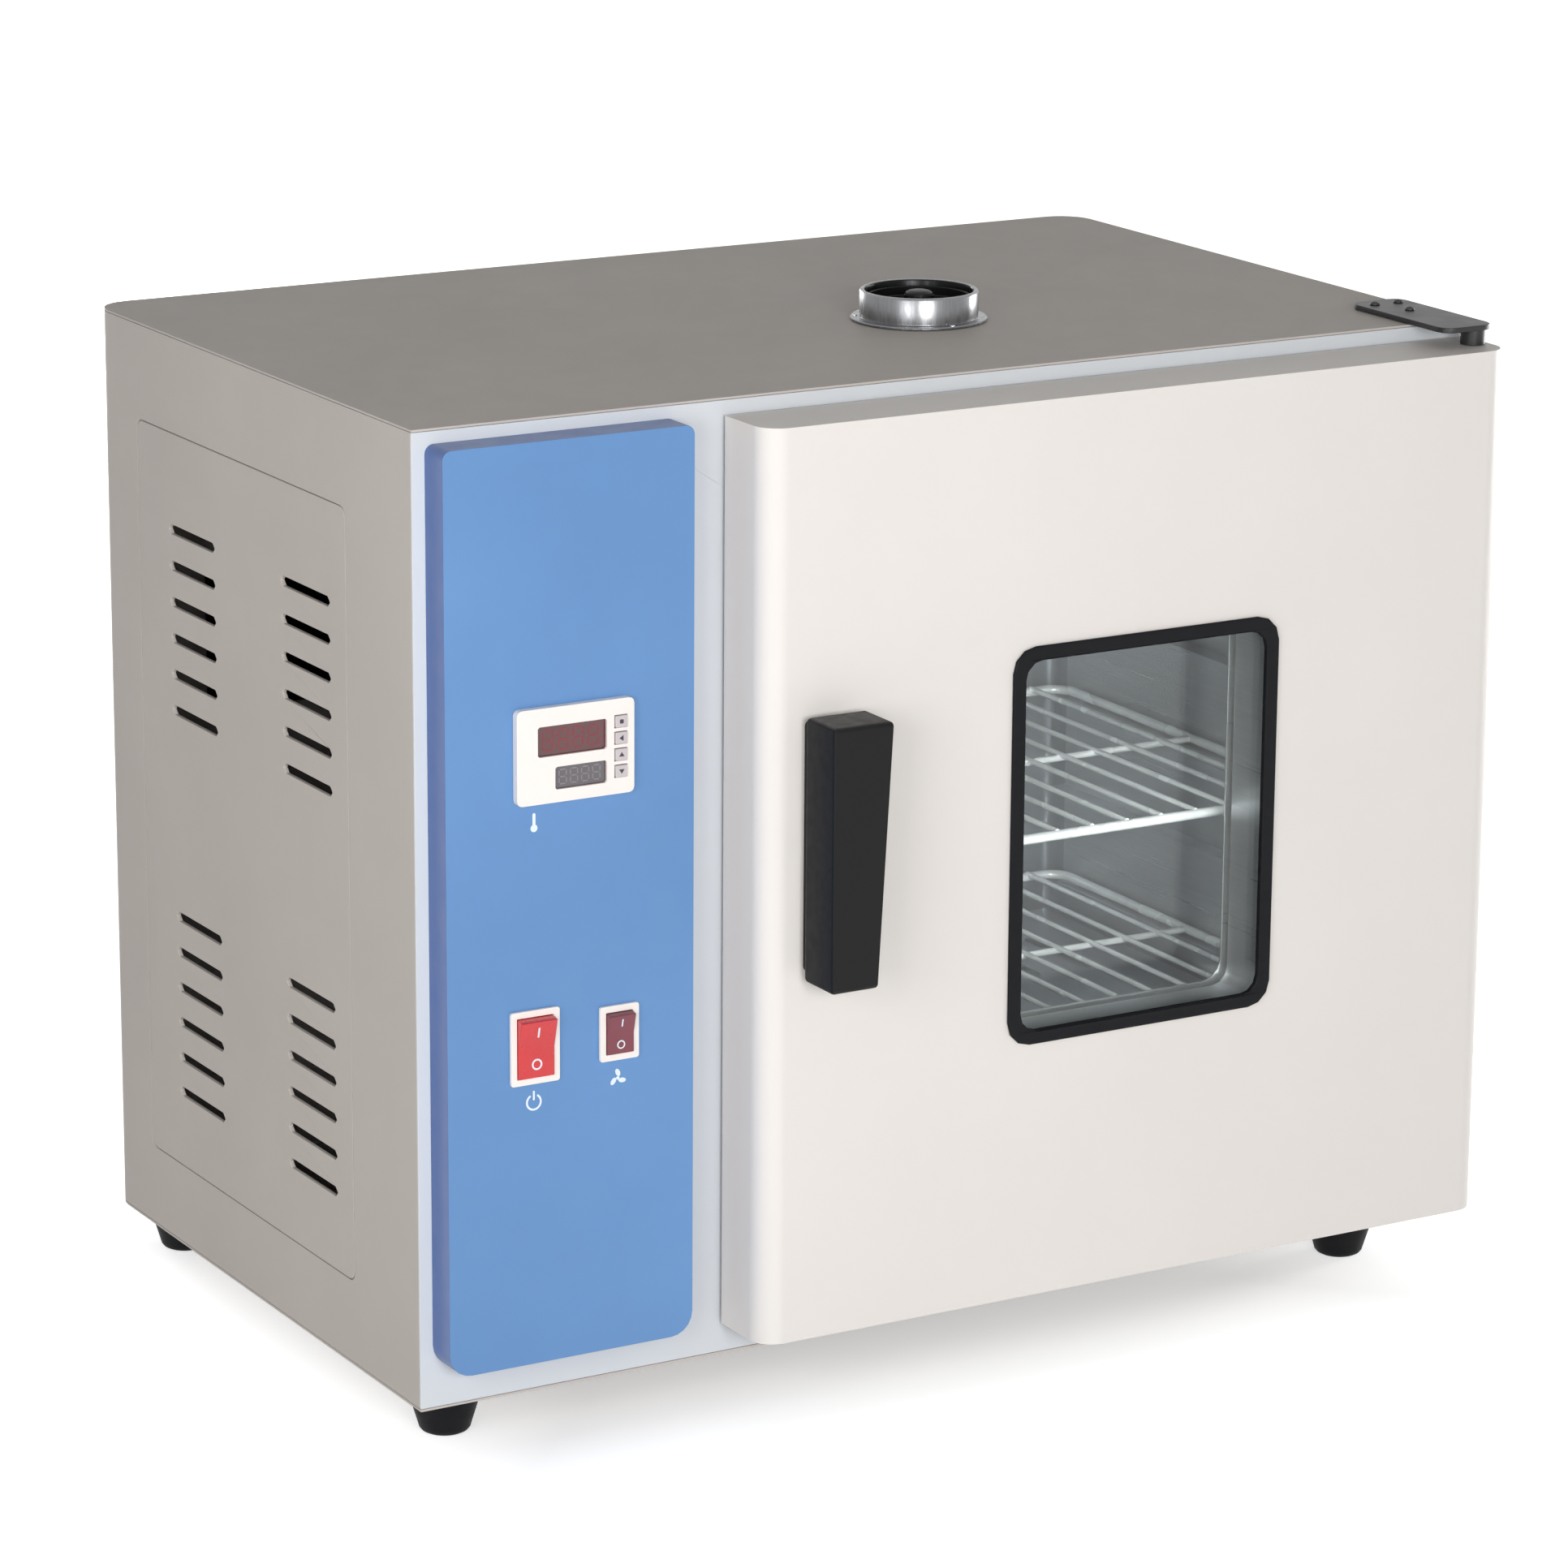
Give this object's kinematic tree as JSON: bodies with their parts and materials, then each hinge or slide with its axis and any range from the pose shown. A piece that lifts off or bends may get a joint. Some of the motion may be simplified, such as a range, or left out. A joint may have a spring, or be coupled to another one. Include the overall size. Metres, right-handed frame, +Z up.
{
  "type": "bench drying oven",
  "caption": "Bench drying oven with a glazed side-hung door, a control column, a fan-stirred chamber with wire shelves and a top vent.",
  "frame": {"origin": "centre of the footprint of the whole part, on the surface that the four feet stand on", "axes": "+X to the right seen from the front, towards the door hinges; +Y to the back; +Z up"},
  "size_m": [0.65, 0.4848, 0.571],
  "materials": {
    "cabinet_paint": "satin",
    "door_paint": "satin",
    "panel_blue": "satin",
    "stainless": "satin",
    "bright_steel": "polished",
    "zinc_plate": "satin",
    "black_plastic": "matte",
    "black_metal": "satin",
    "black_rubber": "matte",
    "white_plastic": "satin",
    "grey_plastic": "matte",
    "red_plastic": "gloss",
    "smoked_lens": "gloss",
    "silicone": "matte",
    "glass_wool": "matte",
    "glass": "gloss",
    "heater_steel": "matte",
    "motor_steel": "satin",
    "aluminium": "satin"
  },
  "bodies": {
    "cabinet": {"base_pan": "cabinet_paint", "outer_wrap": "cabinet_paint", "top_cover": "cabinet_paint", "side_cover": "cabinet_paint", "rear_cover": "cabinet_paint", "front_frame": "door_paint", "partition": "zinc_plate", "inner_chamber": "stainless", "chamber_insulation": "glass_wool", "door_seal": "silicone", "chamber_floor": "stainless", "heater_element": "heater_steel", "duct_panel": "stainless", "shelf_rack_left": "stainless", "shelf_rack_right": "stainless", "shelf_lower": "bright_steel", "shelf_upper": "bright_steel", "temperature_probe": "bright_steel", "fan_motor": "motor_steel", "motor_mount": "zinc_plate", "vent_pipe": "stainless", "vent_collar": "zinc_plate", "foot_front_left": "black_rubber", "foot_front_right": "black_rubber", "foot_rear_left": "black_rubber", "foot_rear_right": "black_rubber", "control_panel": "panel_blue", "controller_bezel": "white_plastic", "display_lens": "smoked_lens", "controller_case": "black_plastic", "power_switch_frame": "white_plastic", "fan_switch_frame": "white_plastic", "solid_state_relay": "aluminium", "terminal_block": "white_plastic", "power_inlet": "black_plastic", "fuse_holder": "black_plastic", "hinge_bracket_upper": "black_metal", "hinge_bracket_lower": "black_metal", "latch_keeper": "bright_steel"},
    "door": {"door_shell": "door_paint", "door_liner": "stainless", "door_insulation": "glass_wool", "window_gasket": "black_rubber", "window_glass_outer": "glass", "window_spacer": "stainless", "window_glass_inner": "glass", "handle_base": "black_plastic", "handle_pin": "bright_steel"},
    "handle": {"handle_grip": "black_plastic"},
    "latch": {"latch_hook": "bright_steel"},
    "fan": {"fan_impeller": "aluminium"},
    "damper": {"vent_damper": "black_plastic"},
    "power_button": {"power_rocker": "red_plastic"},
    "fan_button": {"fan_rocker": "grey_plastic"},
    "first_key": {"key_1": "grey_plastic"},
    "second_key": {"key_2": "grey_plastic"},
    "third_key": {"key_3": "grey_plastic"},
    "fourth_key": {"key_4": "grey_plastic"}
  },
  "joints": [
    {"name": "door_hinge", "type": "hinge", "parent": "cabinet", "child": "door", "pos_m": [0.315, -0.18465, 0.2963], "axis": [0, 0, 1], "range_deg": [0, 120]},
    {"name": "handle_pull", "type": "hinge", "parent": "door", "child": "handle", "pos_m": [-0.117, -0.22645, 0.3215], "axis": [0, 0, -1], "range_deg": [0, 20], "stiffness_Nm_per_rad": 0.5},
    {"name": "latch_slide", "type": "slide", "parent": "door", "child": "latch", "axis": [1, 0, 0], "range_m": [0, 0.0053]},
    {"name": "fan_spin", "type": "hinge", "parent": "cabinet", "child": "fan", "pos_m": [-0.089, 0.00485, 0.28], "axis": [1, 0, 0], "continuous": true},
    {"name": "vent_turn", "type": "hinge", "parent": "cabinet", "child": "damper", "pos_m": [0.059, -0.01785, 0.554], "axis": [0, 0, 1], "range_deg": [0, 90]},
    {"name": "power_switch", "type": "hinge", "parent": "cabinet", "child": "power_button", "pos_m": [-0.268, -0.18195, 0.2274], "axis": [-1, 0, 0], "range_deg": [0, 14]},
    {"name": "fan_switch", "type": "hinge", "parent": "cabinet", "child": "fan_button", "pos_m": [-0.2185, -0.18195, 0.2279], "axis": [-1, 0, 0], "range_deg": [0, 14]},
    {"name": "key_1_press", "type": "slide", "parent": "cabinet", "child": "first_key", "axis": [0, 1, 0], "range_m": [0, 0.0005], "stiffness_N_per_m": 1500},
    {"name": "key_2_press", "type": "slide", "parent": "cabinet", "child": "second_key", "axis": [0, 1, 0], "range_m": [0, 0.0005], "stiffness_N_per_m": 1500},
    {"name": "key_3_press", "type": "slide", "parent": "cabinet", "child": "third_key", "axis": [0, 1, 0], "range_m": [0, 0.0005], "stiffness_N_per_m": 1500},
    {"name": "key_4_press", "type": "slide", "parent": "cabinet", "child": "fourth_key", "axis": [0, 1, 0], "range_m": [0, 0.0005], "stiffness_N_per_m": 1500}
  ],
  "couplings": [
    {"joint": "latch_slide", "follows": "handle_pull", "m_per_rad": 0.015}
  ]
}
